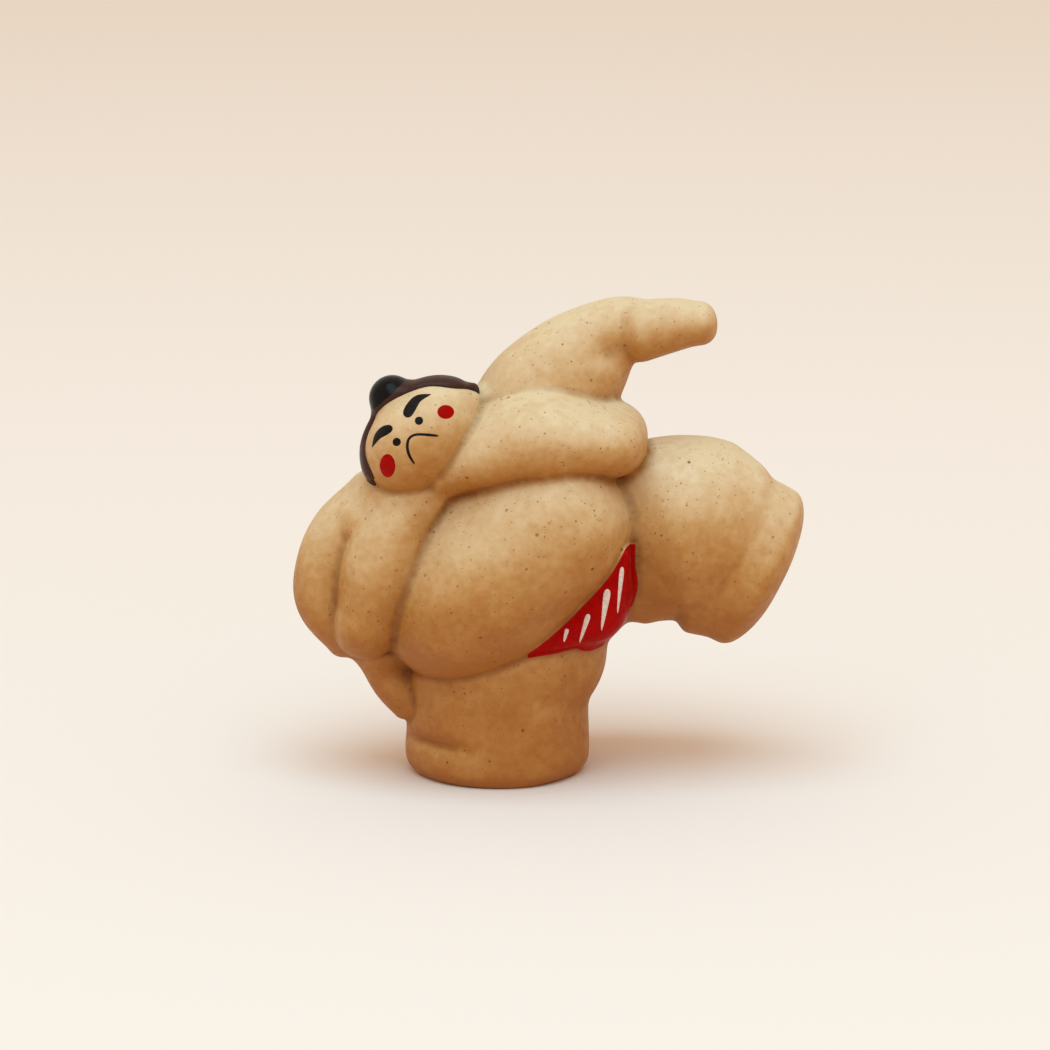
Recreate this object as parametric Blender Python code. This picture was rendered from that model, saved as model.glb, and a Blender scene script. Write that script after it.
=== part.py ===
"""Stoneware figurine of a sumo wrestler stamping, one leg raised to the side and leaning over the other.

The figure is put together as a potter builds it: solid lumps of clay, each shaped on its own and luted to its
neighbours with a thin layer of slip, then a loincloth, a hair cap and a topknot laid on, and enamel marks on top.
X runs to the raised leg, Y to the figure's back and Z up. The origin is the middle of the sole it stands on.
"""

import math
from dataclasses import dataclass
from functools import partial

import bmesh
import bpy
import numpy as np
from mathutils import Matrix, Vector

# Driving dimensions, in metres and degrees
FIGURE_HEIGHT = 0.060
SLIP_JOINT = 0.0003
HAIR_THICKNESS = 0.0004
ENAMEL_THICKNESS = 0.0002
FACE_TILT = 42
FACE_LIFT = 13
HAIRLINE_LEAN = 12
TORSO_LEAN = 50

# Shapes are written in sixtieths of the height, which are millimetres at the height above
UNIT = FIGURE_HEIGHT / 60
JOINT = SLIP_JOINT / UNIT
DOME_RINGS = 3
FULLNESS = 0.85

# Directions: right, up and forward on the tilted face, and across, along and behind the leaning torso
LIFTED = Matrix.Rotation(math.radians(-FACE_LIFT), 3, "X")
FACE = LIFTED @ Matrix.Rotation(math.radians(-FACE_TILT), 3, "Y")
TORSO = Matrix.Rotation(math.radians(-TORSO_LEAN), 3, "Y")
UPRIGHT = Matrix.Identity(3)
FACE_CENTRE = Vector((-9.0, -5.0, 43.2))
WAIST = Vector((10.2, -0.5, 21.5))


@dataclass
class Station:
    """One elliptical section of a lump: its centre, and half its breadth and depth, in units."""

    x: float
    y: float
    z: float
    breadth: float
    depth: float


def clear_scene():
    for old in list(bpy.data.objects):
        bpy.data.objects.remove(old)


def collection(name):
    made = bpy.data.collections.new(name)
    bpy.context.scene.collection.children.link(made)
    return made


def material(name, colour, roughness):
    made = bpy.data.materials.new(name)
    made.use_nodes = True
    shader = made.node_tree.nodes["Principled BSDF"]
    shader.inputs["Base Color"].default_value = (*colour, 1)
    shader.inputs["Roughness"].default_value = roughness
    shader.inputs["Metallic"].default_value = 0.0
    made.diffuse_color = (*colour, 1)
    return made


def finished_mesh(bm, name):
    bmesh.ops.recalc_face_normals(bm, faces=bm.faces)
    bmesh.ops.triangulate(bm, faces=bm.faces)
    mesh = bpy.data.meshes.new(name)
    bm.to_mesh(mesh)
    bm.free()
    mesh.shade_smooth()
    mesh.set_sharp_from_angle(angle=math.radians(50))
    return mesh


def smooth_sections(stations, per_span):
    """Rows of x, y, z, breadth and depth on a Catmull-Rom curve through the stations."""
    rows = np.array([[s.x, s.y, s.z, s.breadth, s.depth] for s in stations], float)
    ends = np.vstack([2 * rows[0] - rows[1], rows, 2 * rows[-1] - rows[-2]])
    found = []
    for before, start, end, after in zip(ends, ends[1:], ends[2:], ends[3:]):
        for t in np.arange(per_span) / per_span:
            found.append(
                start
                + 0.5 * t * (end - before)
                + t * t * (before - 2.5 * start + 2 * end - 0.5 * after)
                + 0.5 * t**3 * (3 * (start - end) + after - before)
            )
    return np.array([*found, rows[-1]])


def section_axes(centres, depth_hint):
    """Unit tangent, breadth and depth axes at each centre. Depth keeps as near to its hint as the spine allows."""
    tangents = np.gradient(centres, axis=0)
    tangents /= np.linalg.norm(tangents, axis=1)[:, None]
    depths = np.array(depth_hint) - tangents * (tangents @ np.array(depth_hint))[:, None]
    depths /= np.linalg.norm(depths, axis=1)[:, None]
    return tangents, np.cross(depths, tangents), depths


def dome_rings(centre, outward, breadth, depth, length):
    """Centres and half sizes of the rings that round an end off, from its rim towards its pole."""
    angles = [math.pi / 2 * step / DOME_RINGS for step in range(1, DOME_RINGS)]
    steps = [(length * math.sin(a) ** FULLNESS, math.cos(a) ** FULLNESS) for a in angles]
    return [(centre + outward * rise, breadth * narrow, depth * narrow) for rise, narrow in steps]


def lump_mesh(name, stations, domes, sides, per_span, depth_hint, grow=0.0):
    """Closed mesh of elliptical sections lofted along a smooth spine. An end with no dome is cut flat."""
    rows = smooth_sections(stations, per_span)
    centres = rows[:, :3]
    tangents, breadth_axes, depth_axes = section_axes(centres, depth_hint)
    rings = [[c, b + grow, d + grow, i] for i, (c, b, d) in enumerate(zip(centres, rows[:, 3], rows[:, 4]))]
    poles = []
    for end, length in enumerate(domes):
        at = end * (len(centres) - 1)
        outward = tangents[at] * (1 if end else -1)
        poles.append(centres[at] + outward * (length + grow))
        _, breadth, depth, _ = rings[-end]
        if length:
            caps = [[*ring, at] for ring in dome_rings(centres[at], outward, breadth, depth, length + grow)]
            rings = rings + caps if end else caps[::-1] + rings
        else:
            rings[-end][0] = poles[end]
    bm = bmesh.new()
    around = [2 * math.pi * k / sides for k in range(sides)]
    loops = []
    for centre, breadth, depth, i in rings:
        across, deep = breadth_axes[i] * breadth, depth_axes[i] * depth
        points = [centre + across * math.cos(a) + deep * math.sin(a) for a in around]
        loops.append([bm.verts.new(Vector(p) * UNIT) for p in points])
    for lower, upper in zip(loops, loops[1:]):
        for k in range(sides):
            bm.faces.new((lower[k], lower[k - 1], upper[k - 1], upper[k]))
    for loop, length, pole in zip((loops[0], loops[-1]), domes, poles):
        if length:
            tip = bm.verts.new(Vector(pole) * UNIT)
            for k in range(sides):
                bm.faces.new((loop[k], loop[k - 1], tip))
        else:
            bm.faces.new(loop)
    return finished_mesh(bm, name)


def ball_mesh(name, centre, radii, axes, segments, grow=0.0):
    """Ellipsoid with its radii along the given axes."""
    sizes = Matrix.Diagonal([(r + grow) * UNIT for r in radii])
    place = Matrix.Translation(Vector(centre) * UNIT) @ (axes @ sizes).to_4x4()
    bm = bmesh.new()
    bmesh.ops.create_uvsphere(bm, u_segments=segments, v_segments=segments // 2 + 2, radius=1, matrix=place)
    return finished_mesh(bm, name)


def stroke_outline(path, half_widths, steps=4):
    """Outline of a brush stroke: a smooth path with a width at each of its points, round at both ends."""
    rows = smooth_sections([Station(u, 0, v, w, w) for (u, v), w in zip(path, half_widths)], steps)
    centres, widths = rows[:, (0, 2)], rows[:, 3:4]
    along = np.gradient(centres, axis=0)
    along /= np.linalg.norm(along, axis=1)[:, None]
    aside = np.column_stack([-along[:, 1], along[:, 0]])
    tips = [centres[:1] - along[:1] * widths[:1], centres[-1:] + along[-1:] * widths[-1:]]
    return np.vstack([tips[0], centres + aside * widths, tips[1], (centres - aside * widths)[::-1]])


def dot_outline(centre, half_sizes, turn=0.0, points=14):
    """Outline of a painted dot: an ellipse turned by an angle in degrees."""
    angles = 2 * math.pi * np.arange(points) / points
    flat = np.column_stack([half_sizes[0] * np.cos(angles), half_sizes[1] * np.sin(angles)])
    c, s = math.cos(math.radians(turn)), math.sin(math.radians(turn))
    return flat @ np.array([[c, s], [-s, c]]) + np.array(centre)


def prism_mesh(name, outline, axes, origin, near, far):
    """Outline drawn across the first and last of the axes, extruded forward from near to far."""
    right, forward, up = axes.col[0], -axes.col[1], axes.col[2]
    bm = bmesh.new()
    base = [bm.verts.new((origin + right * u + up * v + forward * near) * UNIT) for u, v in outline]
    made = bmesh.ops.extrude_face_region(bm, geom=[bm.faces.new(base)])
    moved = [v for v in made["geom"] if isinstance(v, bmesh.types.BMVert)]
    bmesh.ops.translate(bm, vec=forward * (far - near) * UNIT, verts=moved)
    return finished_mesh(bm, name)


def boxes_meet(first, second):
    corners = [np.array([v.co for v in obj.data.vertices]) for obj in (first, second)]
    (low_a, high_a), (low_b, high_b) = [(c.min(0), c.max(0)) for c in corners]
    return bool((low_a < high_b).all() and (low_b < high_a).all())


def boolean(piece, operation, other):
    made = piece.modifiers.new(f"{operation.lower()}_{other.name}", "BOOLEAN")
    made.operation = operation
    made.object = other


class Figure:
    """The pieces made so far. Each new one gives way to the earlier ones where their boxes meet."""

    def __init__(self):
        self.parts = collection("sumo_figurine")
        self.cutters = collection("cutters")
        self.joints = []

    def cutter(self, mesh):
        made = bpy.data.objects.new(mesh.name, mesh)
        made.hide_render = True
        made.display_type = "WIRE"
        self.cutters.objects.link(made)
        return made

    def seat(self, mesh, finish):
        """New piece, cut back by a slip joint from all the pieces before it."""
        piece = bpy.data.objects.new(mesh.name, mesh)
        mesh.materials.append(finish)
        self.parts.objects.link(piece)
        for joint in self.joints:
            if boxes_meet(piece, joint):
                boolean(piece, "DIFFERENCE", joint)
        return piece

    def add(self, name, finish, shape):
        """New piece from a function that makes its mesh at any allowance. Returns the function."""
        self.seat(shape(name), finish)
        self.joints.append(self.cutter(shape(f"{name}_joint", grow=JOINT)))
        return shape

    def lump(self, name, finish, stations, domes, sides=16, per_span=3, depth_hint=(0, 1, 0)):
        shape = partial(lump_mesh, stations=stations, domes=domes, sides=sides, per_span=per_span,
                        depth_hint=depth_hint)
        return self.add(name, finish, shape)

    def ball(self, name, finish, centre, radii, axes=UPRIGHT, segments=18):
        return self.add(name, finish, partial(ball_mesh, centre=centre, radii=radii, axes=axes, segments=segments))

    def enamel(self, name, finish, prism, film):
        """Painted mark: the part of a thin film over a piece that a prism picks out."""
        boolean(self.seat(prism(name), finish), "INTERSECT", film)


def legs(figure, clay):
    figure.ball("standing_thigh", clay, (1.2, -0.5, 13.6), (12.7, 11.6, 9.6),
                Matrix.Rotation(math.radians(-17), 3, "Y"))
    figure.lump("standing_foot", clay, [
        Station(0.0, 0, 0.0, 10.6, 10.4),
        Station(0.0, 0, 1.5, 11.4, 11.0),
        Station(0.0, 0, 6.0, 11.4, 10.6),
    ], (0, 4.5), sides=20)
    figure.lump("raised_thigh", clay, [
        Station(16.0, -1, 30.2, 10.8, 9.4),
        Station(23.0, -1, 30.8, 11.8, 10.5),
        Station(28.8, -1, 30.7, 10.6, 9.2),
    ], (3.5, 5.6))
    figure.lump("raised_foot", clay, [
        Station(25.6, -1, 28.6, 9.6, 7.6),
        Station(29.6, -1, 27.0, 10.6, 8.2),
        Station(32.3, -1, 26.3, 9.7, 8.2),
        Station(33.5, -1, 25.8, 8.9, 7.6),
    ], (2.5, 1.8))


def torso(figure, clay):
    figure.lump("belly", clay, [
        Station(-8.5, -3, 21.3, 8.8, 10.5),
        Station(-2.7, -3, 24.4, 12.2, 13.0),
        Station(5.3, -3, 28.2, 8.6, 12.5),
        Station(13.3, -3, 32.1, 5.8, 9.5),
    ], (4.0, 4.3))
    figure.lump("shoulders", clay, [
        Station(-15.6, 1, 31.5, 4.5, 7.0),
        Station(-5.8, 1, 38.5, 6.0, 9.5),
        Station(5.3, 1, 43.5, 6.0, 8.0),
    ], (4.0, 4.0))
    figure.lump("left_breast", clay, [
        Station(-4.9, -5.5, 39.4, 3.7, 7.0),
        Station(-1.0, -5, 41.6, 5.6, 9.0),
        Station(5.3, -4.5, 43.0, 6.5, 10.0),
        Station(13.3, -4.5, 43.2, 5.2, 8.5),
    ], (3.0, 5.2))
    figure.lump("right_breast", clay, [
        Station(-11.2, -6, 34.0, 3.6, 5.6),
        Station(-13.8, -6, 28.0, 5.2, 7.0),
        Station(-15.6, -6, 21.4, 4.2, 6.5),
    ], (3.0, 5.6))


def arms(figure, clay):
    figure.lump("left_arm", clay, [
        Station(5.2, 2, 44.0, 9.4, 7.0),
        Station(6.5, 2, 48.0, 8.4, 6.8),
        Station(11.4, 1, 52.3, 6.0, 5.8),
        Station(16.4, 0, 55.4, 4.0, 4.6),
    ], (2.0, 2.5))
    figure.lump("left_hand", clay, [
        Station(18.0, -0.5, 55.9, 3.6, 4.0),
        Station(22.0, -0.5, 56.4, 3.2, 4.2),
        Station(24.4, -0.5, 56.5, 2.7, 3.6),
    ], (2.0, 2.5), sides=14)
    figure.lump("right_arm", clay, [
        Station(-16.8, -1, 32.0, 5.3, 5.2),
        Station(-20.0, -1.5, 27.0, 4.5, 5.2),
        Station(-20.7, -2, 22.2, 4.1, 5.0),
        Station(-18.0, -2.5, 18.0, 3.4, 4.2),
    ], (2.0, 2.5))
    figure.lump("right_hand", clay, [
        Station(-14.2, -3, 16.0, 3.7, 5.0),
        Station(-12.9, -3.5, 12.2, 2.8, 3.8),
        Station(-10.7, -4, 9.2, 2.3, 3.2),
    ], (1.0, 1.2), sides=14)


def loincloth(figure, red):
    across, along, behind = TORSO.col[0], TORSO.col[2], TORSO.col[1]
    pouch = figure.lump("mawashi_front", red, [
        Station(2.3, -8, 15.2, 1.4, 2.0),
        Station(7.8, -8, 19.8, 3.6, 3.2),
        Station(11.7, -8, 23.4, 5.2, 4.0),
        Station(14.6, -7.5, 27.6, 3.8, 3.5),
        Station(16.2, -7.5, 30.4, 2.0, 2.0),
    ], (1.0, 1.0))
    sweep = [math.radians(a) for a in range(0, 181, 30)]
    belt = [WAIST + across * 10.0 * math.cos(a) + behind * 12.4 * math.sin(a) for a in sweep]
    figure.lump("mawashi_belt", red, [Station(*p, 1.4, 2.2) for p in belt], (0.8, 0.8),
                sides=12, per_span=2, depth_hint=along)
    strap = [WAIST - along * 3.9 * math.sin(a) + behind * 10.6 * math.cos(a) for a in sweep[:-1]]
    figure.lump("mawashi_strap", red, [Station(*p, 1.2, 2.8) for p in strap], (0.8, 0.8),
                sides=12, per_span=2, depth_hint=across)
    figure.ball("mawashi_knot", red, WAIST + behind * 13.3, (3.2, 2.1, 2.6), TORSO, segments=14)
    return pouch


def hips(figure, clay):
    figure.ball("pelvis", clay, (11.5, 1, 22.0), (9.0, 9.5, 5.5), TORSO)
    figure.ball("left_buttock", clay, (19.5, 6.0, 24.8), (7.4, 8.2, 7.2))
    figure.ball("right_buttock", clay, (6.6, 6.0, 13.6), (7.0, 8.0, 7.2))


def hairline_box(name, allowance):
    """Block that covers the face side of the hairline, a plane leaning forward over the brow."""
    axes = FACE @ Matrix.Rotation(math.radians(HAIRLINE_LEAN), 3, "X")
    size = 40
    middle = FACE_CENTRE + FACE @ Vector((0, -1.0, 0)) - axes.col[1] * (size / 2 + allowance)
    bm = bmesh.new()
    place = Matrix.Translation(middle * UNIT) @ axes.to_4x4()
    bmesh.ops.create_cube(bm, size=size * UNIT, matrix=place)
    return finished_mesh(bm, name)


def hair(figure, brown, black, skull):
    thick = JOINT + HAIR_THICKNESS / UNIT
    cap = figure.seat(skull("hair_cap", grow=thick), brown)
    boolean(cap, "DIFFERENCE", figure.cutter(hairline_box("hairline", 0)))
    joint = figure.cutter(skull("hair_cap_joint", grow=thick + JOINT))
    boolean(joint, "DIFFERENCE", figure.cutter(hairline_box("hairline_joint", JOINT)))
    figure.joints.append(joint)
    figure.ball("topknot", black, FACE_CENTRE + FACE @ Vector((0.8, 0.5, 6.4)), (2.5, 2.8, 2.0), FACE, segments=16)


def painted_face(figure, black, red, skull):
    film = figure.cutter(skull("head_film", grow=JOINT + ENAMEL_THICKNESS / UNIT))
    outlines = {
        "left_brow": stroke_outline([(0.5, 2.9), (2.4, 3.3), (4.2, 3.2)], [0.5, 0.45, 0.15]),
        "right_brow": stroke_outline([(-1.6, 3.2), (-3.6, 3.5), (-5.3, 3.2)], [0.45, 0.4, 0.12]),
        "left_eye": dot_outline((1.1, 1.7), (0.5, 0.5), points=10),
        "right_eye": dot_outline((-2.6, 1.6), (0.5, 0.5), points=10),
        "mouth": stroke_outline([(1.6, -1.2), (0.2, 0.4), (-0.9, 0.8), (-1.7, 0.5), (-2.2, -0.3), (-2.8, -1.8)],
                                [0.14, 0.18, 0.2, 0.2, 0.18, 0.14], steps=2),
        "left_cheek": dot_outline((4.2, 0.4), (1.0, 0.85), turn=-42),
        "right_cheek": dot_outline((-5.4, 0.2), (0.95, 1.4), turn=-42),
    }
    for name, outline in outlines.items():
        prism = partial(prism_mesh, outline=outline, axes=FACE, origin=FACE_CENTRE, near=1.5, far=9)
        figure.enamel(name, red if name.endswith("cheek") else black, prism, film)


def painted_strokes(figure, white, pouch):
    film = figure.cutter(pouch("mawashi_film", grow=JOINT + ENAMEL_THICKNESS / UNIT))
    strokes = [
        ((-1.6, -3.2), (-2.0, -4.8), 0.3),
        ((1.0, -1.4), (-0.1, -4.9), 0.37),
        ((3.3, 1.4), (2.6, -3.4), 0.5),
        ((5.0, 3.4), (4.6, -1.4), 0.3),
    ]
    for number, (top, bottom, half_width) in enumerate(strokes, 1):
        outline = stroke_outline([top, bottom], [half_width, half_width])
        prism = partial(prism_mesh, outline=outline, axes=LIFTED, origin=WAIST, near=4, far=16)
        figure.enamel(f"mawashi_stroke_{number}", white, prism, film)


def build():
    clear_scene()
    clay = material("speckled_stoneware", (0.56, 0.36, 0.17), 0.6)
    red = material("red_enamel", (0.42, 0.01, 0.01), 0.35)
    brown = material("brown_enamel", (0.05, 0.02, 0.01), 0.4)
    black = material("black_enamel", (0.01, 0.01, 0.01), 0.15)
    white = material("white_enamel", (0.62, 0.52, 0.48), 0.4)
    figure = Figure()
    torso(figure, clay)
    skull = figure.ball("head", clay, FACE_CENTRE, (7.4, 6.5, 5.7), FACE)
    legs(figure, clay)
    arms(figure, clay)
    pouch = loincloth(figure, red)
    hips(figure, clay)
    hair(figure, brown, black, skull)
    painted_face(figure, black, red, skull)
    painted_strokes(figure, white, pouch)


if __name__ == "__main__":
    build()
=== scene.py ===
"""Looks of a stoneware figurine: a sumo wrestler stamping, one leg raised, hand-built from lumps of clay.

The lumps, the loincloth's among them, are luted together and their creases filled, as thumbs and a wet brush
leave them. The skin of that body is then cut into one closed piece for each lump. Hair and enamel marks lie
on the skin.
"""

import logging
import math
from collections.abc import Callable
from dataclasses import dataclass, fields
from enum import Enum

import bpy
import numpy as np
import openvdb
from mathutils import Matrix, Vector


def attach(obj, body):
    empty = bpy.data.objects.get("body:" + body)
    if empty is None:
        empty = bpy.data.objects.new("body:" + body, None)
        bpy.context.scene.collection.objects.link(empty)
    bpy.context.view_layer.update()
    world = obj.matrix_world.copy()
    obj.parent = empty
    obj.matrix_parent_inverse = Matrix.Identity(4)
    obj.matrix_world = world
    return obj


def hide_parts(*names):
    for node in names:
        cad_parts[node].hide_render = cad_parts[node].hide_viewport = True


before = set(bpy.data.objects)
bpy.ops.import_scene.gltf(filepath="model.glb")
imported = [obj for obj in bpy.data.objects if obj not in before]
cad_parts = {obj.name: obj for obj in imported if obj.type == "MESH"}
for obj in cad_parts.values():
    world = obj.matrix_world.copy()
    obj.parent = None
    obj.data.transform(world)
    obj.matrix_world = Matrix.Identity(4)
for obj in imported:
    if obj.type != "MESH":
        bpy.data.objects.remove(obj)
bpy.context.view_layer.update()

LOG = logging.getLogger("sumo_figurine")
BODY = "root"

# Shapes are in units of a sixtieth of the nominal height, which are millimetres at this height in metres
FIGURE_HEIGHT = 0.060
UNIT = FIGURE_HEIGHT / 60

# Grain of the modelled clay, in units: voxel spacing, and how far from a surface distances are kept and used
VOXEL = 0.25
BAND = 5.0
NEAR = 1.25

# The torso and the standing thigh lean, and the face is tilted and lifted to a viewer above it, in degrees
FACE_TILT = 42
VIEW_LIFT = 13
TORSO_LEAN = 50
THIGH_LEAN = 17
LIFTED = Matrix.Rotation(math.radians(-VIEW_LIFT), 3, "X")
FACE = LIFTED @ Matrix.Rotation(math.radians(-FACE_TILT), 3, "Y")
TORSO = Matrix.Rotation(math.radians(-TORSO_LEAN), 3, "Y")
THIGH = Matrix.Rotation(math.radians(-THIGH_LEAN), 3, "Y")
UPRIGHT = Matrix.Identity(3)
FACE_CENTRE = Vector((-9.0, -6.2, 43.48))
WAIST = Vector((10.2, -0.5, 21.5))

# Height of the domed ends of the bands round the waist, in units
CLOTH_END = 0.8

# Points in units, and triangles as rows of point numbers
Surface = tuple[np.ndarray, np.ndarray]


class Seam(Enum):
    """How the seam between two lumps was finished, as the share of the wide fillet in it."""

    TOOLED = 0.0
    PRESSED = 0.12
    THUMBED = 0.5
    SMOOTHED = 1.0


# Radius of the tight and wide fillets, in units, and how quickly one seam gives way to the next
TIGHT_FILLET = 0.45
WIDE_FILLET = 3.0
SEAM_FADE = 0.7

# Sums and lengths that are divided by stay above these
LEAST_WEIGHT = 1e-9
LEAST_LENGTH = 1e-12


def smooth_through(rows: np.ndarray, per_span: int) -> np.ndarray:
    """Finds rows on a smooth curve.

    Args:
        rows: The rows that the curve goes through.
        per_span: How many rows to find from each of them to the next.

    Returns:
        The rows found, with the last of the given ones.
    """
    ends = np.vstack([2 * rows[0] - rows[1], rows, 2 * rows[-1] - rows[-2]])
    found = []
    for before, start, end, after in zip(ends, ends[1:], ends[2:], ends[3:]):
        for t in np.arange(per_span) / per_span:
            found.append(
                start
                + 0.5 * t * (end - before)
                + t * t * (before - 2.5 * start + 2 * end - 0.5 * after)
                + 0.5 * t**3 * (3 * (start - end) + after - before)
            )
    return np.array([*found, rows[-1]])


@dataclass(frozen=True)
class Station:
    """One elliptical section of a lump: its centre, and half its breadth and depth, in units."""

    x: float
    y: float
    z: float
    breadth: float
    depth: float


@dataclass(frozen=True)
class Lump:
    """Clay rolled along a bent spine, with a section at each station and domed or flat ends.

    The domes are the heights of its two ends, in units. A dome is half an ellipse at a fullness of 1, and
    blunter below that.
    """

    stations: tuple[Station, ...]
    domes: tuple[float, float]
    depth_hint: tuple[float, float, float] = (0, 1, 0)
    sides: int = 72
    per_span: int = 14
    dome_rings: int = 18
    fullness: tuple[float, float] = (0.85, 0.85)

    def sections(self) -> np.ndarray:
        """Finds the sections on a smooth curve through the stations.

        Returns:
            Rows of x, y, z, breadth and depth.
        """
        rows = [[s.x, s.y, s.z, s.breadth, s.depth] for s in self.stations]
        return smooth_through(np.array(rows, float), self.per_span)

    def surface(self) -> Surface:
        """Lofts the lump.

        Returns:
            Points in units, and triangles as rows of point numbers.
        """
        rows = self.sections()
        centres, sizes = rows[:, :3], rows[:, 3:]
        tangents = np.gradient(centres, axis=0)
        tangents /= np.linalg.norm(tangents, axis=1)[:, None]
        hint = np.array(self.depth_hint)
        deep = hint - tangents * (tangents @ hint)[:, None]
        deep /= np.linalg.norm(deep, axis=1)[:, None]
        across = np.cross(deep, tangents)
        rise = np.linspace(0, math.pi / 2, self.dome_rings + 1)[1:]
        rings = [(centres[i], sizes[i], i) for i in range(len(rows))]
        for end, dome, full in zip((0, -1), (-self.domes[0], self.domes[1]), self.fullness):
            high, narrow = np.sin(rise) ** full, np.clip(np.cos(rise), 0, 1) ** full
            domed = [(centres[end] + tangents[end] * dome * h, sizes[end] * n, end)
                     for h, n in zip(high, narrow)]
            rings = rings + domed if end else domed[::-1] + rings
        angles = 2 * math.pi * np.arange(self.sides) / self.sides
        around = np.column_stack([np.cos(angles), np.sin(angles)])
        loops = [centre + around * size @ np.array([across[i], deep[i]]) for centre, size, i in rings]
        return np.vstack(loops), tube_triangles(len(loops), self.sides)


@dataclass(frozen=True)
class Ball:
    """Clay rolled to an ellipsoid: its centre, and its radii along three axes, in units."""

    centre: tuple[float, float, float]
    radii: tuple[float, float, float]
    axes: Matrix = UPRIGHT
    sides: int = 96

    def surface(self) -> Surface:
        """Turns the ball.

        Returns:
            Points in units, and triangles as rows of point numbers.
        """
        rings = self.sides // 2 + 1
        angles = 2 * math.pi * np.arange(self.sides) / self.sides
        flat = np.column_stack([np.cos(angles), np.sin(angles), np.zeros(self.sides)])
        heights = np.linspace(-math.pi / 2, math.pi / 2, rings)
        turned = np.vstack([flat * math.cos(h) + np.array([0, 0, math.sin(h)]) for h in heights])
        placed = (turned * self.radii) @ np.array(self.axes).T + np.array(self.centre)
        return placed, tube_triangles(rings, self.sides)


def tube_triangles(rings: int, sides: int) -> np.ndarray:
    """Joins rings of points into a tube.

    Args:
        rings: How many rings there are along the tube.
        sides: How many points each ring has.

    Returns:
        Triangles as rows of point numbers.
    """
    ring, side = np.meshgrid(np.arange(rings - 1), np.arange(sides), indexing="ij")
    here, beside = ring * sides + side, ring * sides + (side + 1) % sides
    lower = np.stack([here, beside, beside + sides], -1).reshape(-1, 3)
    upper = np.stack([here, beside + sides, here + sides], -1).reshape(-1, 3)
    return np.vstack([lower, upper]).astype(np.uint32)


@dataclass(frozen=True)
class Press:
    """A place pressed in with a finger: its centre, how far it reaches each way, and its depth, in units."""

    centre: tuple[float, float, float]
    reach: tuple[float, float, float]
    depth: float

    def at(self, points: np.ndarray) -> np.ndarray:
        """Depth of the press at each point."""
        local = (points - np.array(self.centre)) / np.array(self.reach)
        return self.depth * np.exp(-(local**2).sum(1))


@dataclass(frozen=True)
class DistanceBlock:
    """Signed distances to a surface on a block of voxels, in units. Beyond the block they are the band."""

    corner: np.ndarray
    values: np.ndarray

    @classmethod
    def around(cls, points: np.ndarray, triangles: np.ndarray) -> "DistanceBlock":
        """Measures distances around a closed surface.

        Args:
            points: Points of the surface, in units.
            triangles: Rows of point numbers.

        Returns:
            The block of distances.
        """
        spacing = openvdb.createLinearTransform(voxelSize=VOXEL)
        grid = openvdb.FloatGrid.createLevelSetFromPolygons(
            points.astype(np.float32), triangles=triangles.astype(np.uint32), transform=spacing,
            halfWidth=BAND / VOXEL)
        margin = math.ceil(BAND / VOXEL) + 1
        corner = np.floor(points.min(0) / VOXEL).astype(int) - margin
        values = np.empty(np.ceil(points.max(0) / VOXEL).astype(int) + margin - corner, np.float32)
        grid.copyToArray(values, ijk=tuple(int(i) for i in corner))
        return cls(corner, values)

    def at_voxels(self, voxels: np.ndarray) -> np.ndarray:
        """Finds distances at whole voxel numbers.

        Args:
            voxels: Rows of voxel numbers.

        Returns:
            The distance at each.
        """
        local = voxels - self.corner
        inside = ((local >= 0) & (local < self.values.shape)).all(1)
        found = np.full(len(voxels), BAND, np.float32)
        found[inside] = self.values[tuple(local[inside].T)]
        return found

    def at_points(self, points: np.ndarray) -> np.ndarray:
        """Finds distances at any points, by mixing the eight voxels around each.

        Args:
            points: Places, in units.

        Returns:
            The distance at each.
        """
        scaled = points / VOXEL
        base = np.floor(scaled).astype(int)
        share = scaled - base
        found = np.zeros(len(points))
        for corner in np.ndindex(2, 2, 2):
            weight = np.where(corner, share, 1 - share).prod(1)
            found += weight * self.at_voxels(base + corner)
        return found

    def skin(self, level: float = 0.0) -> Surface:
        """Finds the surface at one distance.

        Args:
            level: The distance, in units.

        Returns:
            Points in units, and triangles that face outwards.
        """
        grid = openvdb.FloatGrid(BAND)
        grid.transform = openvdb.createLinearTransform(voxelSize=VOXEL)
        grid.copyFromArray(self.values, ijk=tuple(int(i) for i in self.corner))
        points, quads = grid.convertToQuads(isovalue=level)
        points, quads = points.astype(float), quads.astype(int)
        one, two, three, four = points[quads.T]
        long_way = np.linalg.norm(one - three, axis=1) > np.linalg.norm(two - four, axis=1)
        quads[long_way] = np.roll(quads[long_way], 1, axis=1)
        triangles = np.vstack([quads[:, (0, 1, 2)], quads[:, (0, 2, 3)]])
        a, b, c = points[triangles.T]
        if (np.cross(a, b) * c).sum() < 0:
            triangles = triangles[:, ::-1]
        return points, triangles


def filled(union: DistanceBlock, radius: float) -> DistanceBlock:
    """Fills the creases of a body as a ball of one radius would that rolls in them.

    Args:
        union: Distances to the body.
        radius: The ball's radius, in units.

    Returns:
        Distances to the filled body, on the same voxels.
    """
    swollen = DistanceBlock.around(*union.skin(radius))
    voxels = np.argwhere(np.abs(union.values) < BAND) + union.corner
    values = union.values.copy()
    values[tuple((voxels - union.corner).T)] = swollen.at_voxels(voxels) + radius
    return DistanceBlock(union.corner, values)


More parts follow.
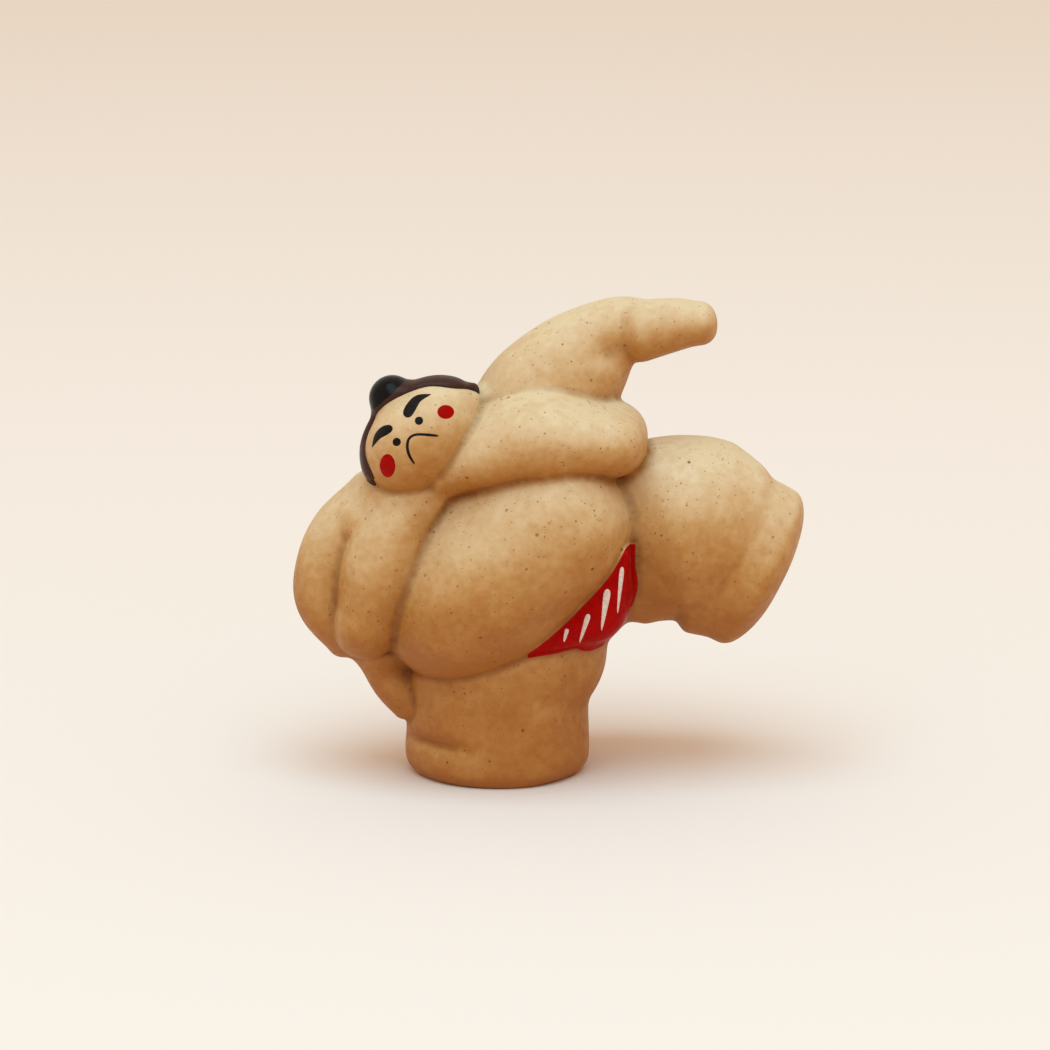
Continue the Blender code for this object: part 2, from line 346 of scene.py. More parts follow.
@dataclass(frozen=True)
class Skin:
    """Triangles over the body, with a row of data at each point.

    A row holds the point's place and normal, how hollow the skin is there, and the distance to each lump.
    """

    data: np.ndarray
    triangles: np.ndarray

    PLACE = slice(0, 3)
    NORMAL = slice(3, 6)
    HOLLOW = 6
    LUMPS = 7

    # Values nearer to zero than this count as this, so that a cut leaves no slivers
    SNAP = 0.05 * VOXEL
    # Thickness of a piece's wall, in units
    WALL = 1.0

    def cut(self, values: np.ndarray) -> tuple["Skin", "Skin"]:
        """Cuts the skin where values at its points pass through zero.

        Args:
            values: One number for each point.

        Returns:
            The part with negative values, and the rest. They share the points of the cut.
        """
        values = np.where(np.abs(values) < self.SNAP, self.SNAP, values)
        side = values[self.triangles] < 0
        count = side.sum(1)
        mixed = (count == 1) | (count == 2)
        alone = count[mixed] == 1
        first = np.where(alone[:, None], side[mixed], ~side[mixed]).argmax(1)
        rows = np.arange(len(first))
        a, b, c = (self.triangles[mixed][rows, (first + step) % 3] for step in range(3))
        edges = np.sort(np.vstack([np.column_stack([a, b]), np.column_stack([a, c])]), axis=1)
        edges, where = np.unique(edges, axis=0, return_inverse=True)
        start, end = edges.T
        share = (values[start] / (values[start] - values[end]))[:, None]
        data = np.vstack([self.data, self.data[start] + share * (self.data[end] - self.data[start])])
        ab, ac = (where.ravel() + len(self.data)).reshape(2, -1)
        tip = np.column_stack([a, ab, ac])
        rest = np.hstack([np.column_stack([ab, b, c]), np.column_stack([ab, c, ac])])
        below = [self.triangles[count == 3], tip[alone], rest[~alone].reshape(-1, 3)]
        above = [self.triangles[count == 0], tip[~alone], rest[alone].reshape(-1, 3)]
        return Skin(data, np.vstack(below)), Skin(data, np.vstack(above))

    def joined(self, other: "Skin") -> "Skin":
        """This skin and another that grew from the same points."""
        longest = max(self.data, other.data, key=len)
        return Skin(longest, np.vstack([self.triangles, other.triangles]))

    def trimmed(self) -> "Skin":
        """This skin without the points that its triangles don't use."""
        used, corners = np.unique(self.triangles, return_inverse=True)
        return Skin(self.data[used], corners.reshape(-1, 3))

    def split(self) -> "Skin":
        """Splits each triangle in four at the middle of its sides.

        Returns:
            The finer skin.
        """
        a, b, c = self.triangles.T
        sides = np.sort(np.vstack([np.column_stack(pair) for pair in ((a, b), (b, c), (c, a))]), axis=1)
        edges, where = np.unique(sides, axis=0, return_inverse=True)
        data = np.vstack([self.data, self.data[edges].mean(1)])
        ab, bc, ca = (where.ravel() + len(self.data)).reshape(3, -1)
        corners = ((a, ab, ca), (ab, b, bc), (ca, bc, c), (ab, bc, ca))
        return Skin(data, np.vstack([np.column_stack(corner) for corner in corners]))

    def raised(self, height: np.ndarray) -> "Skin":
        """Moves each point out along its normal.

        Args:
            height: How far to move each, in units.

        Returns:
            The moved skin, with new normals.
        """
        data = self.data.copy()
        data[:, self.PLACE] += data[:, self.NORMAL] * height[:, None]
        data[:, self.NORMAL] = point_normals(data[:, self.PLACE], self.triangles)
        return Skin(data, self.triangles)

    def shell(self, name: str, under: slice | None = None) -> bpy.types.Object:
        """Makes a closed piece of the skin, with a wall under it.

        Args:
            name: The piece's name.
            under: Columns with the places of its underside, where the wall isn't even.

        Returns:
            The piece, at the origin.
        """
        skin = self.trimmed()
        count = len(skin.data)
        place, normal = skin.data[:, self.PLACE], skin.data[:, self.NORMAL]
        inner = skin.data[:, under] if under else place - normal * self.WALL
        sides = np.vstack([skin.triangles[:, pair] for pair in ((0, 1), (1, 2), (2, 0))])
        open_sides = ~np.isin(sides @ (count, 1), sides @ (1, count))
        a, b = sides[open_sides].T
        rim = np.vstack([np.column_stack([b, a, a + count]), np.column_stack([b, a + count, b + count])])
        triangles = np.vstack([skin.triangles, skin.triangles[:, ::-1] + count, rim])
        mesh = bpy.data.meshes.new(name)
        mesh.from_pydata((np.vstack([place, inner]) * UNIT).tolist(), [], triangles.tolist())
        mesh.shade_smooth()
        flat = mesh.attributes.new("sharp_face", "BOOLEAN", "FACE")
        flat.data.foreach_set("value", np.arange(len(triangles)) >= len(triangles) - len(rim))
        normals = np.vstack([normal, -normal])[triangles]
        normals[len(triangles) - len(rim):] = 0
        mesh.normals_split_custom_set(normals.reshape(-1, 3).tolist())
        hollow = mesh.attributes.new("hollow", "FLOAT", "POINT")
        hollow.data.foreach_set("value", np.tile(skin.data[:, self.HOLLOW], 2).astype(np.float32))
        piece = bpy.data.objects.new(name, mesh)
        bpy.context.scene.collection.objects.link(piece)
        return piece


def point_normals(points: np.ndarray, triangles: np.ndarray) -> np.ndarray:
    """Finds normals at points, from the triangles around each weighed by area.

    Args:
        points: Places of the points.
        triangles: Rows of point numbers.

    Returns:
        A unit normal for each point.
    """
    a, b, c = points[triangles.T]
    faces = np.repeat(np.cross(b - a, c - a), 3, axis=0)
    corners = triangles.ravel()
    summed = np.column_stack([np.bincount(corners, faces[:, axis], len(points)) for axis in range(3)])
    return summed / np.maximum(np.linalg.norm(summed, axis=1), LEAST_LENGTH)[:, None]


def relaxed(points: np.ndarray, triangles: np.ndarray, steps: int, pull: float, push: float) -> np.ndarray:
    """Smooths a closed surface by moving each point towards its neighbours' middle and back.

    Args:
        points: Places of the points.
        triangles: Rows of point numbers.
        steps: How often to do it.
        pull: Share of the way to move.
        push: Share of the way to move back, against shrinking.

    Returns:
        New places of the points.
    """
    start = triangles.ravel()
    end = np.roll(triangles, -1, axis=1).ravel()
    links = np.bincount(start, minlength=len(points))[:, None]
    for _ in range(steps):
        for share in filter(None, (pull, -push)):
            sums = [np.bincount(start, points[end, axis], len(points)) for axis in range(3)]
            points = points + share * (np.column_stack(sums) / links - points)
    return points


def unevenness(points: np.ndarray, height: float, spans: tuple[float, ...], seed: int) -> np.ndarray:
    """Finds slow waves, as a hand leaves them in clay.

    Args:
        points: Places, in units.
        height: Height of each wave.
        spans: Length of each wave.
        seed: Start of the random directions.

    Returns:
        Height at each point.
    """
    chance = np.random.default_rng(seed)
    total = np.zeros(len(points))
    for span in spans:
        direction = chance.normal(size=3)
        total += height * np.sin(points @ direction * (2 * math.pi / span / np.linalg.norm(direction))
                                 + chance.uniform(0, 2 * math.pi))
    return total


@dataclass(frozen=True)
class ClayBody:
    """The lumps luted into one body, with the waves and the smoothing that a hand gives its skin."""

    shapes: dict[str, Lump | Ball]
    seams: tuple[tuple[str, str, Seam], ...]
    presses: tuple[Press, ...]
    wave_height: float = 0.03
    wave_spans: tuple[float, ...] = (5, 7, 9, 12)
    wave_seed: int = 7
    smooth_steps: int = 6
    smooth_pull: float = 0.5
    smooth_push: float = 0.52
    hollow_steps: int = 40

    def softness(self, distances: np.ndarray) -> np.ndarray:
        """Finds how soft the nearest seam is.

        Args:
            distances: A row for each lump and a column for each place.

        Returns:
            The share of the wide fillet at each place.
        """
        names = list(self.shapes)
        table = np.full((len(names), len(names)), Seam.TOOLED.value, np.float32)
        for ones, others, seam in self.seams:
            for one in ones.split():
                for other in others.split():
                    i, j = names.index(one), names.index(other)
                    table[i, j] = table[j, i] = seam.value
        weights = np.exp((distances.min(0) - distances) / SEAM_FADE)
        pairs = weights.sum(0) ** 2 - (weights**2).sum(0)
        return (weights * (table @ weights)).sum(0) / np.maximum(pairs, LEAST_WEIGHT)

    @staticmethod
    def union(blocks: list[DistanceBlock]) -> DistanceBlock:
        """Puts the lumps together, with their creases as they are.

        Args:
            blocks: Distances to each lump.

        Returns:
            Distances to all of them, on a block around them.
        """
        corner = np.min([block.corner for block in blocks], axis=0)
        far = np.max([block.corner + block.values.shape for block in blocks], axis=0)
        least = np.full(far - corner, BAND, np.float32)
        for block in blocks:
            window = tuple(slice(a, a + n) for a, n in zip(block.corner - corner, block.values.shape))
            least[window] = np.minimum(least[window], block.values)
        return DistanceBlock(corner, least)

    def luted(self, blocks: list[DistanceBlock]) -> DistanceBlock:
        """Fills the seams, presses the dents and adds the waves.

        Args:
            blocks: Distances to each lump.

        Returns:
            Distances to the body. They are right only near its skin.
        """
        union = self.union(blocks)
        tight, wide = filled(union, TIGHT_FILLET), filled(union, WIDE_FILLET)
        local = np.argwhere((tight.values > -NEAR) & (wide.values < NEAR))
        soft = self.softness(np.stack([block.at_voxels(local + union.corner) for block in blocks]))
        window = tuple(local.T)
        mixed = tight.values.copy()
        mixed[window] += soft * (wide.values[window] - tight.values[window])
        places = (local + union.corner) * VOXEL
        mixed[window] += sum(press.at(places) for press in self.presses)
        mixed[window] += unevenness(places, self.wave_height, self.wave_spans, self.wave_seed)
        return DistanceBlock(union.corner, mixed)

    def skin(self) -> Skin:
        """Lutes the lumps and finds the skin.

        Returns:
            The skin, with a distance to each lump at its points.
        """
        blocks = [DistanceBlock.around(*shape.surface()) for shape in self.shapes.values()]
        points, triangles = self.luted(blocks).skin()
        points = relaxed(points, triangles, self.smooth_steps, self.smooth_pull, self.smooth_push)
        points[:, 2] = np.maximum(points[:, 2], 0)
        normals = point_normals(points, triangles)
        eased = relaxed(points, triangles, self.hollow_steps, self.smooth_pull, push=0)
        hollow = ((eased - points) * normals).sum(1)
        distances = [block.at_points(points) for block in blocks]
        return Skin(np.column_stack([points, normals, hollow, *distances]), triangles)


def cut_apart(skin: Skin, names: list[str], laps: dict[str, float]) -> dict[str, Skin]:
    """Cuts the skin along its seams.

    Args:
        skin: The whole skin.
        names: The lumps, in the order of the skin's distances.
        laps: How far a lump's skin laps over its neighbours', in units.

    Returns:
        The skin of each lump.
    """
    lap = np.array([laps.get(name, 0.0) for name in names])
    parts = {}
    for index, name in enumerate(names[:-1]):
        reach = skin.data[:, Skin.LUMPS:] - lap
        parts[name], skin = skin.cut(reach[:, index] - reach[:, index + 1:].min(1))
    parts[names[-1]] = skin
    return parts


def linear(colour: str) -> tuple[float, float, float, float]:
    """Linear RGBA of an sRGB hex colour."""
    channels = [int(colour[i:i + 2], 16) / 255 for i in (1, 3, 5)]
    return (*(c / 12.92 if c <= 0.04045 else ((c + 0.055) / 1.055) ** 2.4 for c in channels), 1.0)


def per_metre(millimetres: float) -> float:
    """Scale of a pattern whose cells have one size."""
    return 1000 / millimetres


def connect(tree: bpy.types.NodeTree, node: bpy.types.Node, inputs: dict[str | int, object]) -> None:
    """Sets a node's inputs.

    Args:
        tree: The node's tree.
        node: The node.
        inputs: A value or an output to link, for each input by name or number.
    """
    for name, value in inputs.items():
        if isinstance(value, bpy.types.NodeSocket):
            tree.links.new(value, node.inputs[name])
        else:
            node.inputs[name].default_value = value


def add_node(tree: bpy.types.NodeTree, kind: str, inputs: dict[str | int, object] | None = None,
             **settings: object) -> bpy.types.Node:
    """Adds a node to a tree.

    Args:
        tree: The tree.
        kind: The node's type.
        inputs: A value or an output to link, for each input by name or number.
        settings: The node's own properties.

    Returns:
        The node.
    """
    node = tree.nodes.new(kind)
    for name, value in settings.items():
        setattr(node, name, value)
    connect(tree, node, inputs or {})
    return node


def new_material(name: str) -> tuple[bpy.types.Material, bpy.types.NodeTree, bpy.types.Node]:
    """Starts a material.

    Args:
        name: Its name.

    Returns:
        The material, its tree and its shader.
    """
    material = bpy.data.materials.new(name)
    material.use_nodes = True
    return material, material.node_tree, material.node_tree.nodes["Principled BSDF"]


@dataclass(frozen=True)
class SpeckledStoneware:
    """Unglazed buff stoneware, pressed by hand, wiped smooth and fired.

    The eye sees a dry, faint sheen, clay paler where it faces up (painted light) and darker, more orange
    where it faces down, near the foot and in hollows (painted shade), creases darkened by painted shade,
    cloudy patches, and iron specks of three sizes.
    """

    name: str = "unglazed_speckled_stoneware"
    slot: str = "clay"

    # Pale clay, also painted light where the clay faces up, buff, and toasted clay, also painted shade below,
    # near the foot and in hollows, with the place of each on a scale of tones, and the iron of the specks
    pale: str = "#DFC9A0"
    buff: str = "#BE8A42"
    flashed: str = "#9C5A1C"
    stops: tuple[float, float, float] = (0.1, 0.55, 1.0)
    iron: str = "#6C3E1A"

    # Tone all over, and what facing up (painted light), the tilt from down to up (painted light above,
    # painted shade below), hollows (painted shade), clouds and mottles add to it
    tone: float = 0.1
    tone_up: float = -0.1
    tone_tilt: float = -0.42
    tone_hollow: float = 0.1
    tone_clouds: float = 0.5
    tone_mottles: float = 0.35

    # Tone added towards the foot as painted shade, and the heights where that starts and is full, in units
    tone_foot: float = 0.3
    foot_from: float = 36.0
    foot_to: float = 8.0

    # Painted shade in the creases: its tint, how hollow they are where it starts and is full, in units, and
    # its share there
    crease: str = "#AA8E60"
    crease_from: float = 0.03
    crease_to: float = 0.32
    crease_share: float = 0.95

    # Size of clouds, mottles and grain, in millimetres, with the levels of detail in each
    cloud: tuple[float, float] = (6.0, 3.0)
    mottle: tuple[float, float] = (1.1, 4.0)
    grain: tuple[float, float] = (0.3, 2.0)

    # Spacing and largest radius of the specks of each size, in millimetres, the share of places with none,
    # how dark they are, and how far the grain shifts their edges, in units
    specks: tuple[tuple[float, float], ...] = ((0.4, 0.12), (0.75, 0.19), (1.7, 0.32))
    speckless: float = 0.2
    speck_strength: float = 1.8
    speck_shift: float = 0.25

    # Sheen, the roughness over the span of the mottles, and strength and depth in units of pits and dents
    sheen: float = 0.3
    roughness: tuple[float, float] = (0.46, 0.6)
    mottle_span: tuple[float, float] = (0.3, 0.7)
    pits: tuple[float, float] = (0.35, 0.05)
    dents: tuple[float, float] = (0.4, 0.15)

    def clay_colour(self, tree: bpy.types.NodeTree, coords: bpy.types.Node, clouds: bpy.types.NodeSocket,
                    mottles: bpy.types.NodeSocket) -> bpy.types.NodeSocket:
        """Colours the clay by its tone, with painted light and shade in it, and darkens its creases with
        painted shade.

        Args:
            tree: The material's tree.
            coords: The node with its coordinates.
            clouds: The pattern of clouds.
            mottles: The pattern of mottles.

        Returns:
            The colour.
        """
        hollow = add_node(tree, "ShaderNodeAttribute", attribute_name="hollow").outputs["Fac"]
        tilt = add_node(tree, "ShaderNodeSeparateXYZ", {0: coords.outputs["Normal"]}).outputs["Z"]
        height = add_node(tree, "ShaderNodeSeparateXYZ", {0: coords.outputs["Object"]}).outputs["Z"]
        up = add_node(tree, "ShaderNodeMath", {0: tilt, 1: 0.0}, operation="MAXIMUM").outputs[0]
        # Painted shade: the tone darkens towards the foot
        foot = add_node(tree, "ShaderNodeMapRange", {
            "Value": height, "From Min": self.foot_to * UNIT, "From Max": self.foot_from * UNIT,
            "To Min": self.tone_foot, "To Max": 0.0}).outputs[0]
        # Facing up adds painted light; facing down, the foot and hollows add painted shade; clouds and
        # mottles vary the tone at random
        tone = self.tone
        for source, share in ((up, self.tone_up), (tilt, self.tone_tilt), (foot, 1.0),
                              (hollow, self.tone_hollow), (clouds, self.tone_clouds),
                              (mottles, self.tone_mottles)):
            added = add_node(tree, "ShaderNodeMath", {0: source, 1: share, 2: tone}, operation="MULTIPLY_ADD")
            tone = added.outputs[0]
        warm = add_node(tree, "ShaderNodeValToRGB", {"Fac": tone})
        warm.color_ramp.interpolation = "B_SPLINE"
        warm.color_ramp.elements.new(self.stops[1])
        colours = (self.pale, self.buff, self.flashed)
        for element, stop, colour in zip(warm.color_ramp.elements, self.stops, colours):
            element.position = stop
            element.color = linear(colour)
        # Painted shade: creases are darkened by multiplying in a tint where the skin is hollow
        deep = add_node(tree, "ShaderNodeMapRange", {
            "Value": hollow, "From Min": self.crease_from, "From Max": self.crease_to,
            "To Min": 0.0, "To Max": self.crease_share})
        crease_shaded = add_node(tree, "ShaderNodeMix", {
            0: deep.outputs[0], 6: warm.outputs["Color"], 7: linear(self.crease)},
            data_type="RGBA", blend_type="MULTIPLY")
        return crease_shaded.outputs[2]

    def specked(self, tree: bpy.types.NodeTree, colour: bpy.types.NodeSocket, place: bpy.types.NodeSocket,
                grain: bpy.types.NodeSocket) -> bpy.types.NodeSocket:
        """Adds the iron specks to the clay's colour.

        Args:
            tree: The material's tree.
            colour: The colour.
            place: Object coordinates.
            grain: The pattern of grain, which makes the specks ragged.

        Returns:
            The colour with specks.
        """
        ragged = add_node(tree, "ShaderNodeVectorMath", {
            0: grain, 1: (self.speck_shift * UNIT,) * 3, 2: place}, operation="MULTIPLY_ADD").outputs[0]
        for spacing, size in self.specks:
            cells = add_node(tree, "ShaderNodeTexVoronoi", {"Vector": ragged, "Scale": per_metre(spacing)})
            chance = add_node(tree, "ShaderNodeSeparateColor", {"Color": cells.outputs["Color"]})
            radius = add_node(tree, "ShaderNodeMapRange", {
                "Value": chance.outputs["Red"], "From Min": self.speckless, "From Max": 1.0,
                "To Min": 0.0, "To Max": size / spacing})
            inside = add_node(tree, "ShaderNodeMath", {0: radius.outputs[0], 1: cells.outputs["Distance"]},
                              operation="SUBTRACT")
            strength = add_node(tree, "ShaderNodeMath", {
                0: chance.outputs["Green"], 1: self.speck_strength * spacing / size}, operation="MULTIPLY")
            speck = add_node(tree, "ShaderNodeMath", {0: inside.outputs[0], 1: strength.outputs[0]},
                             operation="MULTIPLY", use_clamp=True)
            mixed = add_node(tree, "ShaderNodeMix", {0: speck.outputs[0], 6: colour, 7: linear(self.iron)},
                             data_type="RGBA")
            colour = mixed.outputs[2]
        return colour

    def material(self) -> bpy.types.Material:
        """Makes the clay's material.

        Returns:
            The material.
        """
        material, tree, shader = new_material(self.name)
        coords = add_node(tree, "ShaderNodeTexCoord")
        place = coords.outputs["Object"]
        clouds, mottles, grains = (
            add_node(tree, "ShaderNodeTexNoise", {
                "Vector": place, "Scale": per_metre(size), "Detail": detail})
            for size, detail in (self.cloud, self.mottle, self.grain))
        clay = self.clay_colour(tree, coords, clouds.outputs["Fac"], mottles.outputs["Fac"])
        colour = self.specked(tree, clay, place, grains.outputs["Color"])
        gloss = add_node(tree, "ShaderNodeMapRange", {
            "Value": mottles.outputs["Fac"], "From Min": self.mottle_span[0], "From Max": self.mottle_span[1],
            "To Min": self.roughness[0], "To Max": self.roughness[1]})
        pitted = add_node(tree, "ShaderNodeBump", {
            "Height": grains.outputs["Fac"], "Strength": self.pits[0], "Distance": self.pits[1] * UNIT})
        dented = add_node(tree, "ShaderNodeBump", {
            "Height": mottles.outputs["Fac"], "Strength": self.dents[0], "Distance": self.dents[1] * UNIT,
            "Normal": pitted.outputs["Normal"]})
        connect(tree, shader, {"Base Color": colour, "Roughness": gloss.outputs[0],
                               "Specular IOR Level": self.sheen, "Normal": dented.outputs["Normal"]})
        return material


@dataclass(frozen=True)
class BrushedEnamel:
    """Overglaze enamel laid on with a brush: smoother than the clay, uneven where the brush left it thin."""

    name: str
    slot: str
    full: str
    thin: str
    roughness: float
    gloss: float

    # Size of the brush's streaks, in millimetres, with the levels of detail in them and how strong these are
    streak: float = 0.9
    streak_detail: float = 4.0
    streak_fineness: float = 0.6

    # Where in the streaks the film starts to thin and is thinnest, how much rougher it is there, and strength
    # and depth in units of the ridges
    thin_from: float = 0.35
    thin_to: float = 0.75
    dulled: float = 0.12
    ridges: tuple[float, float] = (0.25, 0.05)

    def material(self) -> bpy.types.Material:
        """Makes the enamel's material.

        Returns:
            The material.
        """
        material, tree, shader = new_material(self.name)
        place = add_node(tree, "ShaderNodeTexCoord").outputs["Object"]
        streaks = add_node(tree, "ShaderNodeTexNoise", {
            "Vector": place, "Scale": per_metre(self.streak), "Detail": self.streak_detail,
            "Roughness": self.streak_fineness})
        cover = add_node(tree, "ShaderNodeMapRange", {
            "Value": streaks.outputs["Fac"], "From Min": self.thin_from, "From Max": self.thin_to,
            "To Min": 0.0, "To Max": 1.0})
        colour = add_node(tree, "ShaderNodeMix", {
            0: cover.outputs[0], 6: linear(self.full), 7: linear(self.thin)}, data_type="RGBA")
        gloss = add_node(tree, "ShaderNodeMapRange", {
            "Value": cover.outputs[0], "To Min": self.roughness, "To Max": self.roughness + self.dulled})
        uneven = add_node(tree, "ShaderNodeBump", {
            "Height": streaks.outputs["Fac"], "Strength": self.ridges[0], "Distance": self.ridges[1] * UNIT})
        connect(tree, shader, {"Base Color": colour.outputs[2], "Roughness": gloss.outputs[0],
                               "Specular IOR Level": self.gloss, "Normal": uneven.outputs["Normal"]})
        return material


STONEWARE = SpeckledStoneware()
# A deep, even red with a weak sheen
RED = BrushedEnamel("red_overglaze_enamel", "red_enamel", "#A80604", "#8E0402", 0.3, 0.04)
# A dark reddish brown, satin, for the hair
BROWN = BrushedEnamel("brown_overglaze_enamel", "brown_enamel", "#3A211A", "#482A20", 0.35, 0.14)
# The glossiest finish, a near-black that catches the light on the topknot
BLACK = BrushedEnamel("black_overglaze_enamel", "black_enamel", "#0C0B0A", "#171412", 0.15, 0.1)
# The same black in a thin, duller film, for the face
INK = BrushedEnamel("black_brush_enamel", "black_enamel", "#120F0E", "#221C19", 0.4, 0.08)
# A thin, dull white, pinker where it is thinnest over the red
WHITE = BrushedEnamel("thin_white_enamel", "white_enamel", "#E0D2C8", "#C9AFA4", 0.5, 0.2, streak=0.4)

Finish = SpeckledStoneware | BrushedEnamel


def finished(piece: bpy.types.Object, finish: Finish, node: str) -> bpy.types.Object:
    """Gives a piece its finish and its place in the frame.

    Args:
        piece: The piece.
        finish: What it is finished in.
        node: The CAD node that it stands for.

    Returns:
        The piece.
    """
    made = bpy.data.materials.get(finish.name) or finish.material()
    piece.data.materials.clear()
    piece.data.materials.append(made)
    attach(piece, BODY)
    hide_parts(node)
    LOG.info("%s stands for %s: %d faces", piece.name, node, len(piece.data.polygons))
    return piece


class ClayPart:
    """A sub-assembly of lumps, each a field with the name of its CAD node."""

    def shapes(self) -> dict[str, Lump | Ball]:
        """The lumps by name."""
        values = {field.name: getattr(self, field.name) for field in fields(self)}
        return {name: value for name, value in values.items() if isinstance(value, (Lump, Ball))}

    def build(self, parts: dict[str, Skin], finish: Finish) -> list[bpy.types.Object]:
        """Makes a piece of each lump's skin.

        Args:
            parts: The skin of each lump.
            finish: What the pieces are finished in.

        Returns:
            The pieces.
        """
        return [finished(parts[node].shell(f"{node}_skin"), finish, node) for node in self.shapes()]


def roll(domes: tuple[float, float], *stations: tuple[float, ...], **settings: tuple[float, ...]) -> Lump:
    """Rolls a lump from rows of x, y, z, breadth and depth."""
    return Lump(tuple(Station(*row) for row in stations), domes, **settings)


@dataclass(frozen=True)
class Legs(ClayPart):
    """The standing leg and the raised leg."""

    standing_foot: Lump = roll((0, 3), (0, 0, 0, 10.1, 9.9), (0, 0, 1.6, 11.3, 10.9), (0, 0, 5, 11.4, 11),
                               (0.2, -0.2, 9.5, 11.2, 10.8), (0.5, -0.3, 13, 10.8, 10.7))
    standing_thigh: Ball = Ball((1.2, -0.3, 13.6), (12.7, 10.6, 9.6), THIGH)
    raised_thigh: Lump = roll((3.5, 1.6), (16.4, -1, 29.9, 11.3, 6.5), (22, -1, 31.1, 11.2, 10.5),
                              (26, -1, 30.9, 11.2, 10), (29, -1, 30.6, 10.3, 9.2), (31.6, -1, 30.4, 8.6, 7.9),
                              (33.6, -1, 30.2, 6.5, 6))
    raised_foot: Lump = roll((2.5, 3.7), (25.4, -1, 28.1, 10.5, 8), (29.3, -1, 27.4, 10.6, 8.9),
                             (31.9, -1, 26.15, 10.5, 9), fullness=(0.85, 0.92))


@dataclass(frozen=True)
class Torso(ClayPart):
    """Belly, breasts and the yoke of the shoulders."""

    belly: Lump = roll((16.4, 15.9), (-0.1, -3, 26.1, 11.1, 14), (2.1, -3, 28.1, 11.1, 13.8),
                       fullness=(1, 0.72))
    shoulders: Lump = roll((4, 4), (-15.2, -1.5, 32.2, 5, 7.5), (-10.8, -1, 36, 5.4, 8),
                           (-5.8, 0.5, 39, 6, 8.5), (5.3, 1, 43.5, 6, 8))
    left_breast: Lump = roll((2, 5.2), (-6.3, -4.6, 39.1, 2.6, 5.8), (-1, -5, 41.6, 5, 8.5),
                             (5.3, -4.5, 43.3, 6.3, 10), (13.2, -4.5, 42.9, 4.6, 8.4))
    right_breast: Lump = roll((2, 5.6), (-8.6, -4.2, 36.6, 2.6, 5), (-11.4, -5.4, 33, 4.4, 6),
                              (-13.8, -6, 27.5, 5.2, 7), (-15.6, -6, 21.4, 4.2, 6.5))


@dataclass(frozen=True)
class Arms(ClayPart):
    """The left arm held out, and the right arm braced on the knee."""

    left_arm: Lump = roll((2, 2.5), (5.2, -0.5, 44, 9.4, 8), (6.7, 0, 47.6, 8.1, 7.2),
                          (11.2, 0.4, 52.5, 6.2, 6), (15, 0.4, 55.5, 4.2, 4.4), (19, 0.3, 56.2, 3, 3.2))
    left_hand: Lump = roll((2.4, 2.5), (17.6, -1.2, 55.7, 3.8, 4.4), (22, -0.8, 56.4, 3.2, 4.2),
                           (24.4, -0.6, 56.5, 2.7, 3.6))
    right_arm: Lump = roll((3.5, 2.5), (-14.6, -1, 34.2, 4.4, 5), (-18, -1.3, 30, 5, 5.3),
                           (-20.2, -1.6, 26, 4.7, 5.2), (-20.7, -2, 22, 4.1, 5), (-18, -2.5, 18, 3.4, 4.2))
    right_hand: Lump = roll((2.2, 1.2), (-14.1, -1.8, 15.3, 3.5, 4.5), (-12.9, -1.6, 11.8, 2.8, 3.8),
                            (-10.7, -1.6, 8.7, 2.3, 3.2))


@dataclass(frozen=True)
class Hips(ClayPart):
    """The pelvis and the buttocks."""

    pelvis: Ball = Ball((11.5, 1, 22), (9, 9.5, 5.5), TORSO)
    left_buttock: Ball = Ball((19.5, 6, 24.8), (7.4, 8.2, 7.2))
    right_buttock: Ball = Ball((6.6, 6, 13.6), (7, 8, 7.2))


def waist_band(half_size: tuple[float, float], angles: range, flat: int,
               *reaches: tuple[int, float, Callable[[float], float]]) -> Lump:
    """Rolls a band that goes round the waist.

    Args:
        half_size: Half its breadth and depth, in units.
        angles: Where its stations are, in degrees.
        flat: The column of the torso's axes that its depth lies along.
        reaches: Columns of the torso's axes, with how far to go along each, and how that follows the angle.

    Returns:
        The band.
    """
    stations = []
    for angle in angles:
        place = WAIST.copy()
        for column, reach, wave in reaches:
            place += TORSO.col[column] * reach * wave(math.radians(angle))
        stations.append((*place, *half_size))
    return roll((CLOTH_END, CLOTH_END), *stations, depth_hint=tuple(TORSO.col[flat]))


@dataclass(frozen=True)
class Loincloth(ClayPart):
    """The mawashi: its pouch in front, the belt and strap behind, and the knot on them."""

    mawashi_front: Lump = roll((0.8, 0.5), (3.8, -8.5, 17.6, 0.8, 2.2), (8.2, -8.3, 19.6, 2, 3.2),
                               (12, -8.2, 21.8, 3.6, 4), (14.1, -8.5, 25, 2.75, 3.6),
                               (15.3, -9, 28, 1.25, 2.6), (16, -9.3, 30, 0.35, 1.8))
    mawashi_belt: Lump = waist_band((1.4, 2.2), range(0, 181, 30), 2, (0, 10, math.cos), (1, 12.4, math.sin))
    mawashi_strap: Lump = waist_band((1.2, 2.8), range(0, 151, 30), 0, (2, -3.9, math.sin),
                                     (1, 10.6, math.cos))
    mawashi_knot: Ball = Ball(tuple(WAIST + TORSO.col[1] * 13.3), (3.2, 2.1, 2.6), TORSO)


